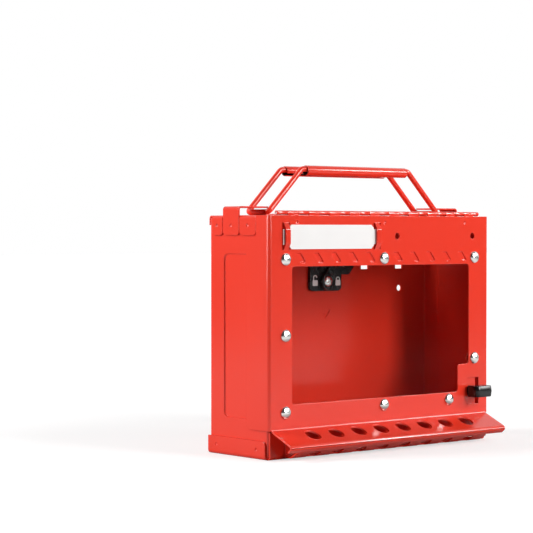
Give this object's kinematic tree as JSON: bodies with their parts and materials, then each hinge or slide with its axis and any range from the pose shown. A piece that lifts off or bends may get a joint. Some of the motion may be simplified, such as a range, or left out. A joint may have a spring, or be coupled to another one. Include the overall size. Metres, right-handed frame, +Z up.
{
  "type": "group lockout box",
  "caption": "Red sheet steel group lockout box with a clear window, a hinged cover over a padlock shelf, a cover latch, a carrying handle and a rear turn lock.",
  "frame": {"origin": "under the middle of the box's floor, on the plane it stands on", "axes": "+Z up, -Y out of the cover's face, +Y out of the back wall, +X towards the latch side"},
  "size_m": [0.285, 0.1155, 0.2677],
  "materials": {
    "red_powder_coat": "gloss powder coat",
    "bright_steel": "bright",
    "black_plastic": "semi-gloss",
    "white_card": "satin",
    "clear_pane": "clear polished sheet"
  },
  "bodies": {
    "case": {"case_shell": "red_powder_coat", "top_panel": "red_powder_coat", "bottom_pan": "red_powder_coat", "hasp_plate": "red_powder_coat", "handle_strap_left": "red_powder_coat", "handle_strap_right": "red_powder_coat", "latch_keeper": "red_powder_coat", "hinge_leaf_case": "red_powder_coat", "hinge_pin": "bright_steel", "lock_base": "black_plastic"},
    "cover": {"cover_panel": "red_powder_coat", "hinge_leaf_cover": "red_powder_coat", "window_pane": "clear_pane", "window_rivet_1": "bright_steel", "window_rivet_2": "bright_steel", "window_rivet_3": "bright_steel", "window_rivet_4": "bright_steel", "window_rivet_5": "bright_steel", "window_rivet_6": "bright_steel", "window_rivet_7": "bright_steel", "window_rivet_8": "bright_steel", "rivet_washer_1": "bright_steel", "rivet_washer_2": "bright_steel", "rivet_washer_3": "bright_steel", "rivet_washer_4": "bright_steel", "rivet_washer_5": "bright_steel", "rivet_washer_6": "bright_steel", "rivet_washer_7": "bright_steel", "rivet_washer_8": "bright_steel", "label_card": "white_card"},
    "cover_latch": {"latch_knob": "black_plastic", "latch_slide": "red_powder_coat", "latch_rivet": "bright_steel"},
    "handle": {"handle_wire": "red_powder_coat", "grip_front": "red_powder_coat", "grip_rear": "red_powder_coat"},
    "bracket_lock": {"lock_lever": "black_plastic", "lock_bolt": "bright_steel", "lock_cam": "bright_steel"}
  },
  "joints": [
    {"name": "cover_hinge", "type": "hinge", "parent": "case", "child": "cover", "pos_m": [0, -0.03975, 0.2229], "axis": [-1, 0, 0], "range_deg": [0, 200]},
    {"name": "latch_travel", "type": "slide", "parent": "cover", "child": "cover_latch", "axis": [0, 0, -1], "range_m": [-0.008, 0.008]},
    {"name": "handle_lift", "type": "slide", "parent": "case", "child": "handle", "axis": [0, 0, 1], "range_m": [0, 0.001]},
    {"name": "lock_turn", "type": "hinge", "parent": "case", "child": "bracket_lock", "pos_m": [0, 0.04205, 0.1571], "axis": [0, -1, 0], "range_deg": [0, 90]}
  ]
}
